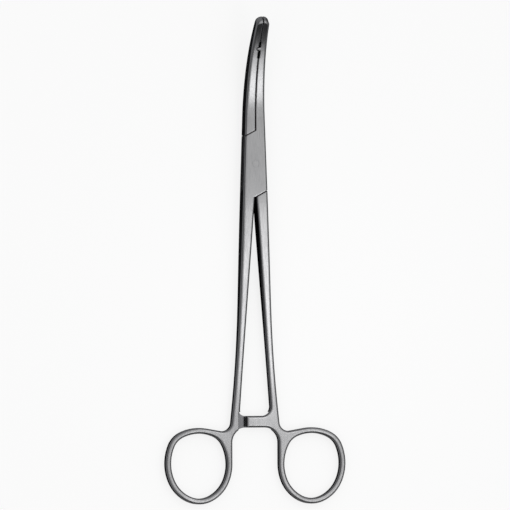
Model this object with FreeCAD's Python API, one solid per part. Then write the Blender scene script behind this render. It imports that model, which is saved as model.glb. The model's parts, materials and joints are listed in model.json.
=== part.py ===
"""Curved hysterectomy forceps with a box lock, a ratchet and two finger rings, in millimetres.

Three pieces of stainless steel: the female half carries the box, the male half passes through it on a
thin tongue, and a riveted pin holds the two. Each half is one forging: jaw, lock, shank, ratchet arm and
ring. The halves are modelled closed, with the pin on Z through the origin, the jaws towards +Y and their
tips curving up towards +Z. The last step lays the closed forceps down on its surface.
"""

import FreeCAD
import Part

import math
import os

V = FreeCAD.Vector

# Thickness, measured along the pin
BOX_T = 7.2
HANDLE_T = 4.2           # lower shanks, ratchet and rings
JAW_TIP_T = 3.9
TAPER_START_Y = -17.0    # the shanks thin from here
TAPER_END_Y = -95.0      # to here

# Half-widths of the closed pair: straight from the tip to the middle of the shanks, then an arc
JAW_TIP_W = 2.8
SHANK_MID_W = 7.0
SHANK_MID_Y = -60.0
SHANK_END_W = 10.4       # level with the top of the ratchet arm
SHANK_END_WIDTH = 3.35   # one shank, just above the ratchet

# Jaws
JAW_STRAIGHT = 5.6       # from the shoulder, before the curve starts
JAW_RADIUS = 63.5
JAW_SWEEP_DEG = 42.0
JAW_TIP_CORNER_R = 2.8

# Box lock
SHOULDER_Y = 14.3        # from the pin to the point of each slanted shoulder
SHOULDER_DEG = 28.0
SEAM = 0.35              # clearance between the halves at the shoulders
SLOT_T = 2.7             # slot through the box
TONGUE_PLAY = 0.05       # on each face of the tongue
PIN_R = 1.6
PIN_PLAY = 0.05          # round the pin, in the tongue
PIN_CHAMFER = 0.05

# Serrations, with the tooth and the pockets beside it
RIDGE_PITCH = 1.3
RIDGE_H = 0.42
RIDGE_PLAY = 0.08        # between meshed ridges
RIDGE_SLANT_DEG = 27.0
RIDGE_START = 5.0        # along the middle line, from the shoulder
RIDGE_END = 1.4          # short of the tip
RIDGE_SET_BACK = 0.35    # from the jaws' upper and lower faces
TOOTH_BACK = 14.6        # from the tip to the middle of the tooth
TOOTH_BASE = 1.6
TOOTH_CREST = 0.8
TOOTH_REACH = 1.0        # past the middle plane
TOOTH_PLAY = 0.15
POCKET_TIP_L = 2.7
POCKET_ROOT_L = 3.5
POCKET_DEPTH = 0.5       # from the middle plane

# Ratchet
ARM_TOP_Y = -108.7
ARM_WIDTH = 5.0
ARM_REACH = 4.1          # past the middle
ARM_GAP = 0.2            # between the crests of the two racks, as sprung apart to open the forceps
RECESS_X = 7.7           # edge of the recess beside each arm
RECESS_RISE = 1.7        # how far the recess runs up the shank above the arm
RATCHET_TEETH = 4
RATCHET_PITCH = 1.9
RATCHET_TOOTH_H = 0.9

# Rings
RING_X = 25.3            # middle of the finger hole
RING_Y = -129.3
RING_HALF_W = 12.45      # of the hole
RING_UPPER_H = 13.1      # of the hole, from its widest place towards the jaws
RING_LOWER_H = 14.9
RING_UPPER_SIDE_R = 18.5     # of the hole's side, above and below its widest place
RING_LOWER_SIDE_R = 17.5
RING_TURNS_DEG = (25.0, 65.0)    # where the corner arc starts and ends between side and end arc
RING_WALL = 2.45
RING_LEAN_DEG = 2.0      # the rings lean outwards towards the jaws

# Rounding
EDGE_R = 1.1             # along all the outer edges, in three flats round this radius
WEB_OUTER_R = 4.0        # between shank and ring
WEB_DIP_DEG = 10.0       # slope of the web's upper side, from the ring down to the shank
WEB_ARCH_R = 6.4         # under the ratchet
MALE_ARM_R = 4.0         # above the ratchet arm
FEMALE_ARM_R = 2.5

# Worked out from the sizes above
PARTING = (RIDGE_H + RIDGE_PLAY) / 2
SLANT = math.tan(math.radians(SHOULDER_DEG))
SEAM_Y = SEAM / math.cos(math.radians(SHOULDER_DEG))
SWEEP = math.radians(JAW_SWEEP_DEG)
JAW_L = JAW_STRAIGHT + JAW_RADIUS * SWEEP
ARM_BOTTOM_Y = ARM_TOP_Y - ARM_WIDTH
SHANK_END_Y = ARM_TOP_Y
RING_END_Y = RING_Y - RING_LOWER_H - RING_WALL
FLAT_TURN = math.radians(22.5)   # from each flat of a rounded edge to the next
CORNER_CUT = EDGE_R * (1 - math.tan(FLAT_TURN))
CREASE_CUT = EDGE_R * (math.tan(FLAT_TURN) - math.tan(FLAT_TURN / 2))
V_SLOPE = (SHANK_END_W - SHANK_END_WIDTH - PARTING) / (-SHOULDER_Y - SHANK_END_Y)
TOOTH_S = JAW_L - TOOTH_BACK
WIDE = 60.0              # past the outside of the part, for cutters
SMALL = 0.01
EMBED = 0.15             # how deep an added ridge, tooth or rack is rooted


def mirrored(shape):
    """The same shape on the other side of the middle plane."""
    return shape.mirror(V(0, 0, 0), V(1, 0, 0))


def turned_over(shape):
    """The same shape turned over about the long axis."""
    copy = shape.copy()
    copy.rotate(V(0, 0, 0), V(0, 1, 0), 180)
    return copy


def prism(points, z_low, z_high):
    """Upright prism over a closed outline of (x, y) points."""
    ring = [V(x, y, z_low) for x, y in points]
    face = Part.Face(Part.makePolygon(ring + ring[:1]))
    return face.extrude(V(0, 0, z_high - z_low))


def one_solid(shape):
    """The single solid that a boolean left."""
    solids = shape.removeSplitter().Solids
    if len(solids) != 1:
        raise ValueError(f"expected one solid and got {len(solids)}")
    return solids[0]


def middle_of(edge):
    """Point halfway along an edge."""
    return edge.valueAt((edge.FirstParameter + edge.LastParameter) / 2)


def tangent_arc(start, along, end):
    """Arc that leaves its start along a direction and reaches its end."""
    chord = end - start
    out = along - chord * (along.dot(chord) / chord.dot(chord))
    rise = chord.Length / 2 * math.tan(along.getAngle(chord) / 2)
    return Part.Arc(start, start + chord / 2 + out.normalize() * rise, end)


def rounded(body, edges):
    """Body with some right-angled edges rounded in three flats, each turning as far as the next."""
    body = body.makeChamfer(CORNER_CUT, edges)
    return body.makeChamfer(CREASE_CUT, [edge for edge in body.Edges if is_crease(body, edge)])


def is_crease(body, edge):
    """Whether two faces meet at an edge with half of a right angle between their directions."""
    faces = body.ancestorsOfType(edge, Part.Face)
    point = middle_of(edge)
    normals = [face.normalAt(*face.Surface.parameter(point)) for face in faces]
    turn = normals[0].getAngle(normals[-1])
    return abs(turn - 2 * FLAT_TURN) < FLAT_TURN / 2


# The side view: middle line, thickness and the curve of the jaws

def middle_line(s):
    """Point on the jaws' middle line at s from the shoulder, and the turn there in radians."""
    bend = max(0.0, s - JAW_STRAIGHT)
    turn = bend / JAW_RADIUS
    y = SHOULDER_Y + s - bend + JAW_RADIUS * math.sin(turn)
    return V(0, y, JAW_RADIUS * (1 - math.cos(turn))), turn


def jaw_place(s):
    """Placement with Y along and Z across the jaws at s."""
    point, turn = middle_line(s)
    return FreeCAD.Placement(point, FreeCAD.Rotation(V(1, 0, 0), math.degrees(turn)))


def jaw_edge(side):
    """Upper (side 1) or lower (side -1) line of the jaws, seen from the side."""
    start = V(0, SHOULDER_Y + JAW_STRAIGHT, side * BOX_T / 2)
    end = jaw_place(JAW_L).multVec(V(0, 0, side * JAW_TIP_T / 2))
    return tangent_arc(start, V(0, 1, 0), end)


def shank_edge(side):
    """Upper or lower line of the shanks where they thin, an even ease from box to handle."""
    third = (TAPER_END_Y - TAPER_START_Y) / 3
    curve = Part.BezierCurve()
    curve.setPoles([
        V(0, TAPER_START_Y, side * BOX_T / 2),
        V(0, TAPER_START_Y + third, side * BOX_T / 2),
        V(0, TAPER_END_Y - third, side * HANDLE_T / 2),
        V(0, TAPER_END_Y, side * HANDLE_T / 2),
    ])
    return curve


def side_body():
    """The closed forceps seen from the side, as wide as needed."""
    far_y = RING_END_Y - WIDE
    edges = [Part.makeLine(V(0, far_y, -HANDLE_T / 2), V(0, far_y, HANDLE_T / 2))]
    tips = []
    for side in (1, -1):
        shank, jaw = shank_edge(side), jaw_edge(side)
        edges += [
            Part.makeLine(V(0, far_y, side * HANDLE_T / 2), shank.EndPoint),
            shank.toShape(),
            Part.makeLine(shank.StartPoint, jaw.StartPoint),
            jaw.toShape(),
        ]
        tips.append(jaw.EndPoint)
    edges.append(Part.makeLine(*tips))
    face = Part.Face(Part.Wire(Part.__sortEdges__(edges)))
    return face.extrude(V(2 * WIDE, 0, 0)).translated(V(-WIDE, 0, 0))


# The plan: outer side, gap between the shanks and the slanted shoulders

def outer_side():
    """Outer side of the right of the closed pair: both ends of its straight, and the arc that follows."""
    start = V(JAW_TIP_W, middle_line(JAW_L)[0].y + JAW_TIP_T / 2, 0)
    bend = V(SHANK_MID_W, SHANK_MID_Y, 0)
    return start, bend, tangent_arc(bend, bend - start, V(SHANK_END_W, SHANK_END_Y, 0))


def inner_side_x(y):
    """Distance from the middle to the inner side of each shank."""
    return PARTING + V_SLOPE * (-SHOULDER_Y - y)


def shoulder_y(x):
    """Height of the upper left shoulder at x, which slants down to the outside."""
    return SHOULDER_Y - (PARTING - x) * SLANT


def wall_plan():
    """Outline of the box's walls: the box, the right jaw and the left shank."""
    far_y = RING_END_Y - WIDE
    return [
        (PARTING, WIDE * 2), (PARTING, SHOULDER_Y), (-WIDE, shoulder_y(-WIDE)), (-WIDE, far_y),
        (-inner_side_x(far_y), far_y), (-PARTING, -SHOULDER_Y), (WIDE, -shoulder_y(-WIDE)), (WIDE, WIDE * 2),
    ]


def through_plans():
    """Outlines of what the male half has at full thickness: its jaw, and its shank."""
    far_y = RING_END_Y - WIDE
    low_y = shoulder_y(-PARTING) + SEAM_Y
    wide_y = shoulder_y(-WIDE) + SEAM_Y
    jaw = [(-PARTING, low_y), (-PARTING, WIDE * 2), (-WIDE, WIDE * 2), (-WIDE, wide_y)]
    shank = [(PARTING, -low_y), (WIDE, -wide_y), (WIDE, far_y), (inner_side_x(far_y), far_y),
             (inner_side_x(-low_y), -low_y)]
    return jaw, shank


def above(left_y, right_y):
    """Cutter for all that lies above a line from (-WIDE, left_y) to (WIDE, right_y)."""
    return prism([(-WIDE, left_y), (WIDE, right_y), (WIDE, 2 * WIDE), (-WIDE, 2 * WIDE)], -WIDE, WIDE)


# Jaws and box of the closed pair, before the halves are parted

def leaned(shape):
    """Shape turned in plan as the straight outer side of the right of the pair leans."""
    start, bend, _ = outer_side()
    copy = shape.copy()
    copy.rotate(V(0, 0, 0), V(0, 0, 1), math.degrees(math.atan2(bend.x - start.x, start.y - bend.y)))
    return copy


def jaws_and_box(side_view):
    """Closed pair from its tip to the lower end of the box, with rounded outer edges."""
    start, bend, _ = outer_side()
    along = (start - bend).normalize()
    half_w = start.x * along.y - start.y * along.x
    slab = Part.makeBox(2 * half_w, 2 * WIDE, 2 * WIDE, V(-half_w, TAPER_START_Y, -WIDE))
    slab = one_solid(slab.common(side_view))
    slab = slab.makeFillet(JAW_TIP_CORNER_R, [edge for edge in slab.Edges if is_tip_corner(edge)])
    slab = leaned(rounded(slab, [edge for edge in slab.Edges if is_pair_rim(edge)]))
    right = slab.common(Part.makeBox(WIDE, 3 * WIDE, 2 * WIDE, V(0, -SHOULDER_Y, -WIDE)))
    return one_solid(right.fuse(mirrored(right)))


def off_middle(point):
    """Distance of a point from the middle line, seen from the side."""
    start, middle, end = (middle_line(s)[0] for s in (JAW_STRAIGHT, (JAW_STRAIGHT + JAW_L) / 2, JAW_L))
    line = Part.Wire([Part.makeLine(V(0, -2 * WIDE, 0), start), Part.Arc(start, middle, end).toShape()])
    return line.distToShape(Part.Vertex(0, point.y, point.z))[0]


def is_tip_corner(edge):
    """Whether an edge is one of the two outer corners at the tip."""
    point = middle_of(edge)
    return abs(point.x) > SMALL and off_middle(point) < SMALL and point.y > SHOULDER_Y


def is_pair_rim(edge):
    """Whether an edge runs round the outside of the upper or the lower face."""
    point = middle_of(edge)
    across = abs(point.x) < SMALL and point.y < middle_line(JAW_STRAIGHT)[0].y + SMALL
    return off_middle(point) > 1 and not across


# Handles: shank, web, ratchet arm and ring, made for the right side with the arm uppermost

def ring_quarter(height, side_r):
    """Tangent side, corner and end arcs of a quarter of the finger hole.

    Each is given by its centre's x and y, its radius and its start and end angles. The radii of corner and
    end follow from the side's, so that the end arc reaches the height with its centre on the middle.
    """
    near, far = (math.radians(angle) for angle in RING_TURNS_DEG)
    across = RING_HALF_W - side_r * (1 - math.cos(near))
    along = height - side_r * math.sin(near)
    narrowing = math.cos(near) - math.cos(far)
    rise = math.sin(far) - math.sin(near)
    rest = 1 - math.sin(far)
    scale = narrowing * rest - math.cos(far) * rise
    corner_r = (across * rest - along * math.cos(far)) / scale
    end_r = (along * narrowing - across * rise) / scale
    side_x = RING_HALF_W - side_r
    corner_x = side_x + (side_r - corner_r) * math.cos(near)
    corner_y = (side_r - corner_r) * math.sin(near)
    return [
        (side_x, 0, side_r, 0, near),
        (corner_x, corner_y, corner_r, near, far),
        (0, height - end_r, end_r, far, math.pi / 2),
    ]


def ring_place():
    """Placement of the right ring."""
    return FreeCAD.Placement(V(RING_X, RING_Y, 0), FreeCAD.Rotation(V(0, 0, 1), -RING_LEAN_DEG))


def ring_point(x, y, radius, angle, side, way):
    """Point of an arc of the ring's quarter, mirrored sideways with side -1 and lengthways with way -1."""
    return V(side * (x + radius * math.cos(angle)), way * (y + radius * math.sin(angle)), -HANDLE_T)


def ring_outline(grow):
    """Outline face of a finger hole, or with grow of the ring's outside."""
    edges = []
    for way, height, side_r in ((1, RING_UPPER_H, RING_UPPER_SIDE_R), (-1, RING_LOWER_H, RING_LOWER_SIDE_R)):
        for x, y, radius, start, end in ring_quarter(height, side_r):
            angles = (start, (start + end) / 2, end)
            for side in (1, -1):
                points = [ring_point(x, y, radius + grow, angle, side, way) for angle in angles]
                edges.append(Part.Arc(*points).toShape())
    face = Part.Face(Part.Wire(Part.__sortEdges__(edges)))
    face.Placement = ring_place()
    return face


def ring_reach():
    """Points of the ring's outside where the web's upper side touches it and nearest to the middle."""
    x, y, radius, _, _ = ring_quarter(RING_UPPER_H, RING_UPPER_SIDE_R)[-1]
    out = V(-math.sin(math.radians(WEB_DIP_DEG)), math.cos(math.radians(WEB_DIP_DEG)), 0)
    top = ring_place().multVec(V(x, y, 0)) + out * (radius + RING_WALL)
    x, y, radius, _, _ = ring_quarter(RING_LOWER_H, RING_LOWER_SIDE_R)[0]
    side = ring_place().multVec(V(-x, y, 0)) - V(radius + RING_WALL, 0, 0)
    return top, side


def shank_and_web():
    """Right shank with the web and the whole arm, as a prism, and its corners beside and above the ring."""
    start, bend, curve = outer_side()
    top, side = ring_reach()
    end = curve.EndPoint
    down = curve.tangent(curve.LastParameter)[0]
    slope = math.tan(math.radians(WEB_DIP_DEG))
    corner = end + down * ((top.y - end.y - slope * (top.x - end.x)) / (down.y - slope * down.x))
    arch = V(side.x, ARM_BOTTOM_Y, 0)
    outline = [
        end, corner, top, V(top.x, side.y, 0), side, arch,
        V(-ARM_REACH, ARM_BOTTOM_Y, 0), V(-ARM_REACH, ARM_TOP_Y, 0), V(inner_side_x(ARM_TOP_Y), ARM_TOP_Y, 0),
        V(inner_side_x(start.y), start.y, 0), start, bend,
    ]
    lines = [curve.toShape()] + [Part.makeLine(a, b) for a, b in zip(outline, outline[1:])]
    face = Part.Face(Part.Wire(Part.__sortEdges__(lines)))
    return face.translated(V(0, 0, -WIDE)).extrude(V(0, 0, 2 * WIDE)), corner, arch


def corner_edges(body, x, y):
    """Upright edges of a prism at (x, y)."""
    return [edge for edge in body.Edges if all(math.hypot(v.X - x, v.Y - y) < SMALL for v in edge.Vertexes)]


def handle(side_view, arm_corner_r, top_cutter):
    """Right handle with its ratchet arm uppermost, rounded along all its outer edges."""
    body, corner, arch = shank_and_web()
    body = body.makeFillet(arm_corner_r, corner_edges(body, inner_side_x(ARM_TOP_Y), ARM_TOP_Y))
    body = body.makeFillet(WEB_ARCH_R, corner_edges(body, arch.x, arch.y))
    body = body.makeFillet(WEB_OUTER_R, corner_edges(body, corner.x, corner.y))
    ring = ring_outline(RING_WALL).extrude(V(0, 0, 2 * HANDLE_T))
    hole = ring_outline(0).extrude(V(0, 0, 2 * HANDLE_T))
    body = one_solid(body.cut(top_cutter).common(side_view).fuse(ring.common(side_view)).cut(hole))
    body = rounded(body, [edge for edge in body.Edges if is_handle_rim(edge, top_cutter)])
    return one_solid(body.cut(arm_recess()).fuse(rack()))


def is_handle_rim(edge, top_cutter):
    """Whether an edge runs round the outside of the handle's upper or lower face."""
    point = middle_of(edge)
    at_taper_end = min(abs(point.y - y) for y in (TAPER_START_Y, TAPER_END_Y)) < SMALL
    seam = at_taper_end and edge.BoundBox.YLength < SMALL
    on_top = top_cutter.distToShape(Part.Vertex(point))[0] < SMALL
    return abs(point.z) > HANDLE_T / 4 and not seam and not on_top


def arm_recess():
    """What is cut away under the arm so that the other arm passes there."""
    low_y = ARM_BOTTOM_Y - WEB_ARCH_R
    root_z = ARM_GAP / 2 + RATCHET_TOOTH_H
    length = ARM_TOP_Y + RECESS_RISE - low_y
    return Part.makeBox(RECESS_X + WIDE, length, WIDE, V(-WIDE, low_y, root_z - WIDE))


def rack():
    """Ratchet teeth under the arm, steep on the side that holds the forceps closed."""
    crest_z = ARM_GAP / 2
    root_z = crest_z + RATCHET_TOOTH_H
    points = [V(-ARM_REACH, ARM_BOTTOM_Y, root_z + EMBED)]
    for tooth in range(RATCHET_TEETH):
        x = -ARM_REACH + tooth * RATCHET_PITCH
        points += [V(x, ARM_BOTTOM_Y, root_z), V(x + RATCHET_PITCH, ARM_BOTTOM_Y, crest_z)]
    end_x = -ARM_REACH + RATCHET_TEETH * RATCHET_PITCH
    points += [V(end_x, ARM_BOTTOM_Y, root_z + EMBED), points[0]]
    return Part.Face(Part.makePolygon(points)).extrude(V(0, ARM_WIDTH, 0))


# Serrations and tooth, made as ridges that reach from the right towards the left

def ridge(s):
    """One slanted ridge across the right jaw's face at s."""
    half = RIDGE_PITCH * math.cos(math.radians(RIDGE_SLANT_DEG)) / 2
    flare = half * (1 + EMBED / RIDGE_H)
    root_x = PARTING + EMBED
    ring = [V(root_x, -flare, -BOX_T), V(PARTING - RIDGE_H, 0, -BOX_T), V(root_x, flare, -BOX_T)]
    body = Part.Face(Part.makePolygon(ring + ring[:1])).extrude(V(0, 0, 2 * BOX_T))
    body.rotate(V(0, 0, 0), V(1, 0, 0), -RIDGE_SLANT_DEG)
    body.Placement = jaw_place(s).multiply(body.Placement)
    return body


def ridges(jaw_view, phase):
    """All the ridges of the right jaw, phase of a pitch further on, ending just inside the jaw's faces."""
    count = int((JAW_L - RIDGE_END - RIDGE_START) / RIDGE_PITCH - phase)
    placed = [ridge(RIDGE_START + RIDGE_PITCH * (index + phase)) for index in range(count)]
    inside = jaw_view
    for way in (1, -1):
        inside = inside.common(jaw_view.translated(V(0, 0, way * RIDGE_SET_BACK)))
    return [piece.common(inside) for piece in placed]


def across_jaw(outline, s):
    """Prism right across the jaws at s, over an outline of (x, y) points with y along the jaws."""
    body = prism(outline, -BOX_T, BOX_T)
    body.Placement = jaw_place(s).multiply(body.Placement)
    return body


def tooth(play):
    """The tooth, which the right jaw carries; with play, the groove for it in the left jaw."""
    base, crest = TOOTH_BASE / 2 + play, TOOTH_CREST / 2 + play
    reach = -TOOTH_REACH - play
    return across_jaw([(POCKET_DEPTH + EMBED, -base), (reach, -crest), (reach, crest),
                       (POCKET_DEPTH + EMBED, base)], TOOTH_S)


def pocket():
    """Shallow relief in both gripping faces, on either side of the tooth."""
    tip, root = TOOTH_BASE / 2 + POCKET_TIP_L, -TOOTH_BASE / 2 - POCKET_ROOT_L
    return across_jaw([(-POCKET_DEPTH, root), (POCKET_DEPTH, root), (POCKET_DEPTH, tip),
                       (-POCKET_DEPTH, tip)], TOOTH_S)


# The three pieces

def box_half(pair, side_view):
    """Female half: right jaw, box, left shank, lower ratchet arm and left ring."""
    walls = prism(wall_plan(), -WIDE, WIDE)
    slot = Part.makeBox(2 * WIDE, 4 * SHOULDER_Y, SLOT_T, V(-WIDE, -2 * SHOULDER_Y, -SLOT_T / 2))
    ends = [mirrored(prism(plan, -WIDE, WIDE)) for plan in through_plans()]
    body = pair.common(walls).cut(slot).fuse([pair.common(end) for end in ends])
    flat_top = above(-SHOULDER_Y, -SHOULDER_Y)
    left_handle = turned_over(handle(side_view, FEMALE_ARM_R, flat_top))
    body = one_solid(body.fuse(left_handle))
    jaw_view = leaned(side_view)
    body = body.fuse(ridges(jaw_view, 0)).cut(pocket()).fuse(tooth(0).common(jaw_view))
    return one_solid(body.cut(Part.makeCylinder(PIN_R, 2 * BOX_T, V(0, 0, -BOX_T))))


def tongue_half(pair, side_view):
    """Male half: left jaw, tongue, right shank, upper ratchet arm and right ring."""
    tongue_t = SLOT_T - 2 * TONGUE_PLAY
    tongue = mirrored(prism(wall_plan(), -tongue_t / 2, tongue_t / 2))
    jaw_plan = through_plans()[0]
    body = pair.common(tongue).fuse(pair.common(prism(jaw_plan, -WIDE, WIDE)))
    slanted_top = above(-shoulder_y(WIDE) - SEAM_Y, -shoulder_y(-WIDE) - SEAM_Y)
    body = one_solid(body.fuse(handle(side_view, MALE_ARM_R, slanted_top)))
    left_ridges = [mirrored(piece) for piece in ridges(leaned(side_view), 0.5)]
    body = body.fuse(left_ridges).cut([pocket(), tooth(TOOTH_PLAY)])
    return one_solid(body.cut(Part.makeCylinder(PIN_R + PIN_PLAY, 2 * BOX_T, V(0, 0, -BOX_T))))


def joint_pin():
    """Pin riveted flush with both faces of the box."""
    pin = Part.makeCylinder(PIN_R, BOX_T, V(0, 0, -BOX_T / 2))
    return pin.makeChamfer(PIN_CHAMFER, [edge for edge in pin.Edges if edge.Closed])


def rest_tilt():
    """Turn about X, in degrees, that brings the rings down to the surface under the box."""
    heel_y = RING_END_Y + CORNER_CUT + CREASE_CUT
    best = 0.0
    for step in range(100):
        share = step / 100
        y = TAPER_START_Y + (TAPER_END_Y - TAPER_START_Y) * share
        drop = (BOX_T - HANDLE_T) / 2 * (1 - 3 * share ** 2 + 2 * share ** 3)
        best = max(best, drop / (y - heel_y))
    return math.degrees(math.atan(best))


def laid_down(pieces):
    """The closed forceps on its surface, with the origin at the bottom centre of its box."""
    tilt = FreeCAD.Placement(V(0, 0, 0), FreeCAD.Rotation(V(1, 0, 0), rest_tilt()))
    for shape in pieces.values():
        shape.Placement = tilt.multiply(shape.Placement)
    box = Part.makeCompound(list(pieces.values())).optimalBoundingBox(False)
    shift = V(-box.Center.x, -box.Center.y, -box.ZMin)
    return {name: shape.translated(shift) for name, shape in pieces.items()}


def main():
    side_view = side_body()
    pair = jaws_and_box(side_view)
    pieces = {
        "box_half": box_half(pair, side_view),
        "tongue_half": tongue_half(pair, side_view),
        "joint_pin": joint_pin(),
    }
    os.makedirs("parts", exist_ok=True)
    for name, shape in laid_down(pieces).items():
        shape.exportStep(f"parts/{name}.step")
        box = shape.BoundBox
        print(name, shape.isValid(), len(shape.Faces), round(shape.Volume, 1),
              [round(value, 2) for value in (box.XMin, box.XMax, box.YMin, box.YMax, box.ZMin, box.ZMax)])


main()
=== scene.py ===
"""Looks of the curved hysterectomy forceps: satin steel, pale floor, studio light and camera."""

import json
import math

import bpy
from mathutils import Matrix, Vector

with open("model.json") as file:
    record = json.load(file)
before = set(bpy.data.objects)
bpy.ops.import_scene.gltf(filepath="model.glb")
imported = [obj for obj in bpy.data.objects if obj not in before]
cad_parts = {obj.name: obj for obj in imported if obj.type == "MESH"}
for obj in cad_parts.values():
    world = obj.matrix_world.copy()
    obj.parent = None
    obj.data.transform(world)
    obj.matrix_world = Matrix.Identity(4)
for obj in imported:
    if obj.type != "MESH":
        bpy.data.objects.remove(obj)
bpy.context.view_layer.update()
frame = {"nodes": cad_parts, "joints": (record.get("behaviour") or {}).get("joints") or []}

HINGE = frame["joints"][0]   # the pin of the box lock

# Framing, as in the photograph
IMAGE_PX = 510               # width and height
METRES_PER_PX = 0.0004310
PIN_PX = (253.6, 163.7)      # where the pin's axis meets the middle of the lock
VIEW_FROM_LEFT_DEG = 15.5
VIEW_ROLL_DEG = -0.25        # the object leans this much
CAMERA_DISTANCE = 9.0
SENSOR_MM = 36.0

# Steel: colours are linear, lengths and sizes are in metres
STEEL_DARK = (0.24, 0.24, 0.245)         # darkest and palest tone of the polished faces
STEEL_PALE = (0.38, 0.38, 0.385)
STEEL_SIDE_SHADE = (0.13, 0.13, 0.135)         # painted shade on the sides, the roundings and the steel low down near the floor
STEEL_CREVICE_SHADE = (0.008, 0.008, 0.009)    # painted shade deep in the seams, the serrations and the ratchet
STEEL_RIM_TINT = (0.10, 0.10, 0.10)      # reflection at a grazing angle
SHEEN_RANGE = (0.20, 0.28)               # roughness, from the most to the least polished patch
WORN_ROUGHNESS = 0.15                    # where handling has polished the edges

# Where painted shade falls on the steel: each pair of values is where a change starts and ends
SIDE_SLOPES = (0.80, 0.994)              # upright share of the normal, from painted side shade to plain face
OPEN_REACH = 0.02                        # how far around a spot its openness is measured
OPEN_SIDE_SHADE = (0.72, 0.99)             # openness, from full painted shade low down near the floor to none
OPEN_CREVICE_SHADE = (0.15, 0.38)              # openness, from painted crevice shade to plain steel
OPEN_SAMPLES = 16

# Patterns: sizes of their grains along X, Y and Z. The instrument lies along Y.
CLOUD_SIZE = (0.012, 0.036, 0.012)       # soft patches in tone and sheen
CLOUD_DETAIL = 3.0
GRAIN_SIZE = (0.00012, 0.004, 0.00012)   # brushed lines
WEAR_PATCH_SIZE = (0.002, 0.006, 0.002)
FINE_DETAIL = 2.0                        # of the brushed lines and the worn patches
GRAIN_SHARE = 0.45                       # share of the lines in the tone, the rest is the clouds'
TONE_RANGE = (0.3, 0.7)                  # noise values, from the darkest to the palest tone
GRAIN_DEPTH = 0.000006
GRAIN_STRENGTH = 0.5

# Edges
EDGE_BLEND_R = 0.0006                    # softens the creases of the rounded edges
PIN_CLEAR_R = (0.0018, 0.0026)           # distance from the pin's axis, from plain to softened
WEAR_R = 0.0004
WEAR_LIKENESS = (0.995, 0.9)             # of the plain to the rounded normal, from none to all worn
BEVEL_SAMPLES = 8

# Floor
FLOOR_COLOUR = (0.9, 0.9, 0.9)
FLOOR_HALF = 3.0             # half its width
FLOOR_GLOW = 0.80            # share of plain white in what is seen, the rest keeps the shadow

# Light
SKY_STOPS = (                # height of a direction above the horizon as a sine, and brightness
    (0.00, 1.00), (0.26, 0.85), (0.45, 0.80), (0.60, 0.85),
    (0.77, 1.10), (0.90, 1.15), (0.97, 0.86), (1.00, 0.80),
)
FRONT_WALL = (-0.80, -0.62)  # wall beyond the rings: Y of a direction where it is full and gone
FRONT_WALL_SHARE = 0.15      # its share of the brightness without it
SIDE_WALLS = (0.88, 0.60)    # walls left and right: X, either way, where they are full and gone
SIDE_WALL_SHARE = 0.5
LAMPS = {                    # place, the point it faces, width and height, power in watts
    "shank_strip": ((0.035, -0.023, 0.127), (0.0, -0.023, 0.0), (0.08, 0.045), 0.0165),
    "front_softbox": ((0.27, -0.28, 0.90), (0.0, 0.06, 0.0), (0.25, 0.29), 0.46),
}

# Sockets of the Mix node by kind: both inputs and the output
MIX_SOCKETS = {"RGBA": (6, 7, 2), "VECTOR": (4, 5, 1)}


def node_tree(owner):
    """An emptied node tree."""
    owner.use_nodes = True
    tree = owner.node_tree
    tree.nodes.clear()
    return tree


def node(tree, kind, values=(), **settings):
    """A node with settings, and with its inputs set or linked, by name or number."""
    made = tree.nodes.new(kind)
    for name, value in settings.items():
        setattr(made, name, value)
    for name, value in dict(values).items():
        if isinstance(value, bpy.types.NodeSocket):
            tree.links.new(value, made.inputs[name])
        else:
            made.inputs[name].default_value = value
    return made


def math_node(tree, operation, *values):
    """Result of a calculation."""
    return node(tree, "ShaderNodeMath", dict(enumerate(values)), operation=operation).outputs[0]


def vector_math(tree, operation, *values):
    """Outputs of a calculation with vectors."""
    return node(tree, "ShaderNodeVectorMath", dict(enumerate(values)), operation=operation).outputs


def mapped(tree, value, low, high, to_low=0.0, to_high=1.0):
    """A value taken smoothly from one range to another."""
    made = node(tree, "ShaderNodeMapRange", {0: value, 1: low, 2: high, 3: to_low, 4: to_high},
                interpolation_type="SMOOTHSTEP")
    return made.outputs[0]


def mixed(tree, share, first, second, kind="RGBA"):
    """Mix of two colours or two vectors."""
    a, b, result = MIX_SOCKETS[kind]
    made = node(tree, "ShaderNodeMix", {0: share, a: first, b: second}, data_type=kind)
    return made.outputs[result]


def stretched_noise(tree, size, detail):
    """Noise between 0 and 1 whose grains measure size along X, Y and Z."""
    place = node(tree, "ShaderNodeTexCoord").outputs["Object"]
    scaled = vector_math(tree, "MULTIPLY", place, [1 / length for length in size])[0]
    values = {"Vector": scaled, "Scale": 1.0, "Detail": detail}
    return node(tree, "ShaderNodeTexNoise", values).outputs[0]


def rounded_normal(tree, radius):
    """Normal as if the edges had this radius."""
    return node(tree, "ShaderNodeBevel", {"Radius": radius}, samples=BEVEL_SAMPLES).outputs[0]


def edge_wear(tree):
    """Share of wear, which is highest along the outer edges."""
    rounded = rounded_normal(tree, WEAR_R)
    plain = node(tree, "ShaderNodeNewGeometry").outputs["Normal"]
    likeness = vector_math(tree, "DOT_PRODUCT", rounded, plain)["Value"]
    patches = stretched_noise(tree, WEAR_PATCH_SIZE, FINE_DETAIL)
    return math_node(tree, "MULTIPLY", mapped(tree, likeness, *WEAR_LIKENESS), patches)


def softened_normal(tree):
    """Normal blended over the rounded edges, and left plain on the flush pin."""
    geometry = node(tree, "ShaderNodeNewGeometry").outputs
    from_pin = vector_math(tree, "SUBTRACT", geometry["Position"], HINGE["pos_m"])[0]
    across = vector_math(tree, "CROSS_PRODUCT", from_pin, HINGE["axis"])[0]
    distance = vector_math(tree, "LENGTH", across)["Value"]
    away = mapped(tree, distance, *PIN_CLEAR_R)
    return mixed(tree, away, geometry["Normal"], rounded_normal(tree, EDGE_BLEND_R), "VECTOR")


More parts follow.
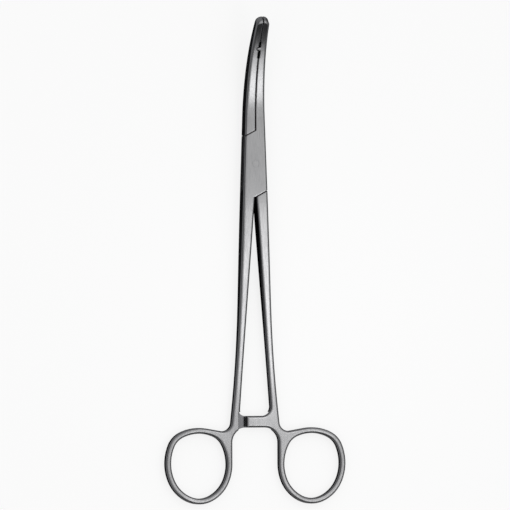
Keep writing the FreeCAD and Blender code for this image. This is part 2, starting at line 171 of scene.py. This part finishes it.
def steel_material():
    """Satin steel: faces with grain and soft patches of tone, painted shade on the sides, low down
    and in crevices.
    """
    material = bpy.data.materials.new("satin_steel")
    tree = node_tree(material)
    clouds = stretched_noise(tree, CLOUD_SIZE, CLOUD_DETAIL)
    grain = stretched_noise(tree, GRAIN_SIZE, FINE_DETAIL)
    cloud_part = math_node(tree, "MULTIPLY", clouds, 1 - GRAIN_SHARE)
    tone = math_node(tree, "MULTIPLY_ADD", grain, GRAIN_SHARE, cloud_part)
    wear = edge_wear(tree)
    polished = mixed(tree, mapped(tree, tone, *TONE_RANGE), (*STEEL_DARK, 1), (*STEEL_PALE, 1))
    openness = node(tree, "ShaderNodeAmbientOcclusion", {"Distance": OPEN_REACH},
                    samples=OPEN_SAMPLES).outputs["AO"]
    soft = softened_normal(tree)
    upright = node(tree, "ShaderNodeSeparateXYZ", {0: soft}).outputs["Z"]
    face_share = mapped(tree, math_node(tree, "ABSOLUTE", upright), *SIDE_SLOPES)
    # Painted shade: the sides, the roundings and the steel low down near the floor are darkened,
    # and satin is the toned colour with this shade
    unshaded_share = math_node(tree, "MULTIPLY", face_share, mapped(tree, openness, *OPEN_SIDE_SHADE))
    satin = mixed(tree, unshaded_share, (*STEEL_SIDE_SHADE, 1), polished)
    # Painted shade, nearly black, deep in the seams, the serrations and the ratchet, where the
    # steel is least open
    colour = mixed(tree, mapped(tree, openness, *OPEN_CREVICE_SHADE), (*STEEL_CREVICE_SHADE, 1), satin)
    sheen = mapped(tree, tone, *TONE_RANGE, *reversed(SHEEN_RANGE))
    roughness = math_node(tree, "MULTIPLY_ADD", wear, WORN_ROUGHNESS - SHEEN_RANGE[0], sheen)
    bump = node(tree, "ShaderNodeBump", {
        "Strength": GRAIN_STRENGTH,
        "Distance": GRAIN_DEPTH,
        "Height": grain,
        "Normal": soft,
    })
    shader = node(tree, "ShaderNodeBsdfPrincipled", {
        "Base Color": colour,
        "Metallic": 1.0,
        "Roughness": roughness,
        "Specular Tint": (*STEEL_RIM_TINT, 1),
        "Normal": bump.outputs[0],
    })
    node(tree, "ShaderNodeOutputMaterial", {0: shader.outputs[0]})
    return material


def floor_material():
    """White floor that keeps a faint shadow, seen directly and in the steel."""
    material = bpy.data.materials.new("floor")
    tree = node_tree(material)
    ray = node(tree, "ShaderNodeLightPath").outputs
    seen = math_node(tree, "MAXIMUM", ray["Is Camera Ray"], ray["Is Glossy Ray"])
    seen = math_node(tree, "MAXIMUM", seen, ray["Is Transmission Ray"])
    plain = node(tree, "ShaderNodeBsdfDiffuse", {"Color": (*FLOOR_COLOUR, 1)}).outputs[0]
    white = node(tree, "ShaderNodeEmission", {"Color": (1, 1, 1, 1), "Strength": 1.0}).outputs[0]
    glow = math_node(tree, "MULTIPLY", seen, FLOOR_GLOW)
    both = node(tree, "ShaderNodeMixShader", {0: glow, 1: plain, 2: white})
    node(tree, "ShaderNodeOutputMaterial", {0: both.outputs[0]})
    return material


def pale_floor():
    """Floor and backdrop in one plane, far larger than the view."""
    half = FLOOR_HALF
    corners = [(-half, -half, 0), (half, -half, 0), (half, half, 0), (-half, half, 0)]
    mesh = bpy.data.meshes.new("floor")
    mesh.from_pydata(corners, [], [(0, 1, 2, 3)])
    mesh.materials.append(floor_material())
    floor = bpy.data.objects.new("floor", mesh)
    bpy.context.collection.objects.link(floor)


def camera():
    """Camera above the forceps, a little to its left, with the photograph's framing."""
    pin = Vector(HINGE["pos_m"])
    up = Vector(HINGE["axis"]).normalized()
    along = up.cross(Vector((1, 0, 0)))
    yaw = math.radians(VIEW_FROM_LEFT_DEG)
    back = Vector((-math.sin(yaw), 0, 0)) + up * math.cos(yaw)
    right = Matrix.Rotation(math.radians(VIEW_ROLL_DEG), 3, back) @ along.cross(back)
    top = back.cross(right)
    across_px, down_px = (IMAGE_PX / 2 - pixel for pixel in PIN_PX)
    centre = pin + (right * across_px - top * down_px) * METRES_PER_PX
    data = bpy.data.cameras.new("camera")
    data.sensor_width = SENSOR_MM
    data.lens = SENSOR_MM * CAMERA_DISTANCE / (IMAGE_PX * METRES_PER_PX)
    data.clip_end = 2 * CAMERA_DISTANCE
    view = bpy.data.objects.new("camera", data)
    turn = Matrix((right, top, back)).transposed().to_4x4()
    view.matrix_world = Matrix.Translation(centre + back * CAMERA_DISTANCE) @ turn
    bpy.context.collection.objects.link(view)
    bpy.context.scene.camera = view


def area_light(name, place, target, size, power):
    """Soft rectangular studio lamp, which the camera doesn't see."""
    data = bpy.data.lights.new(name, "AREA")
    data.shape = "RECTANGLE"
    data.size, data.size_y = size
    data.energy = power
    lamp = bpy.data.objects.new(name, data)
    lamp.location = place
    lamp.rotation_euler = (Vector(target) - Vector(place)).to_track_quat("-Z", "Y").to_euler()
    lamp.visible_camera = False
    bpy.context.collection.objects.link(lamp)


def studio_world():
    """Studio surroundings: soft light overhead, a dark wall in front and dimmer side walls."""
    world = bpy.data.worlds.new("studio")
    bpy.context.scene.world = world
    tree = node_tree(world)
    way = node(tree, "ShaderNodeTexCoord").outputs["Generated"]
    parts = node(tree, "ShaderNodeSeparateXYZ", {0: way}).outputs
    sky = node(tree, "ShaderNodeValToRGB", {0: parts["Z"]})
    brightest = max(strength for _, strength in SKY_STOPS)
    stops = sky.color_ramp.elements
    while len(stops) < len(SKY_STOPS):
        stops.new(0.5)       # its place follows below
    for stop, (place, strength) in zip(stops, SKY_STOPS):
        stop.position = place
        stop.color = (*[strength / brightest] * 3, 1)
    front = mapped(tree, parts["Y"], *FRONT_WALL, FRONT_WALL_SHARE * brightest, brightest)
    sides = mapped(tree, math_node(tree, "ABSOLUTE", parts["X"]), *SIDE_WALLS, SIDE_WALL_SHARE)
    strength = math_node(tree, "MULTIPLY", front, sides)
    light = node(tree, "ShaderNodeBackground", {"Color": sky.outputs[0], "Strength": strength})
    node(tree, "ShaderNodeOutputWorld", {0: light.outputs[0]})


steel = steel_material()
for part in frame["nodes"].values():
    part.data.materials.clear()
    part.data.materials.append(steel)

pale_floor()
studio_world()
for lamp_name, settings in LAMPS.items():
    area_light(lamp_name, *settings)
camera()
bpy.context.scene.view_settings.view_transform = "Standard"
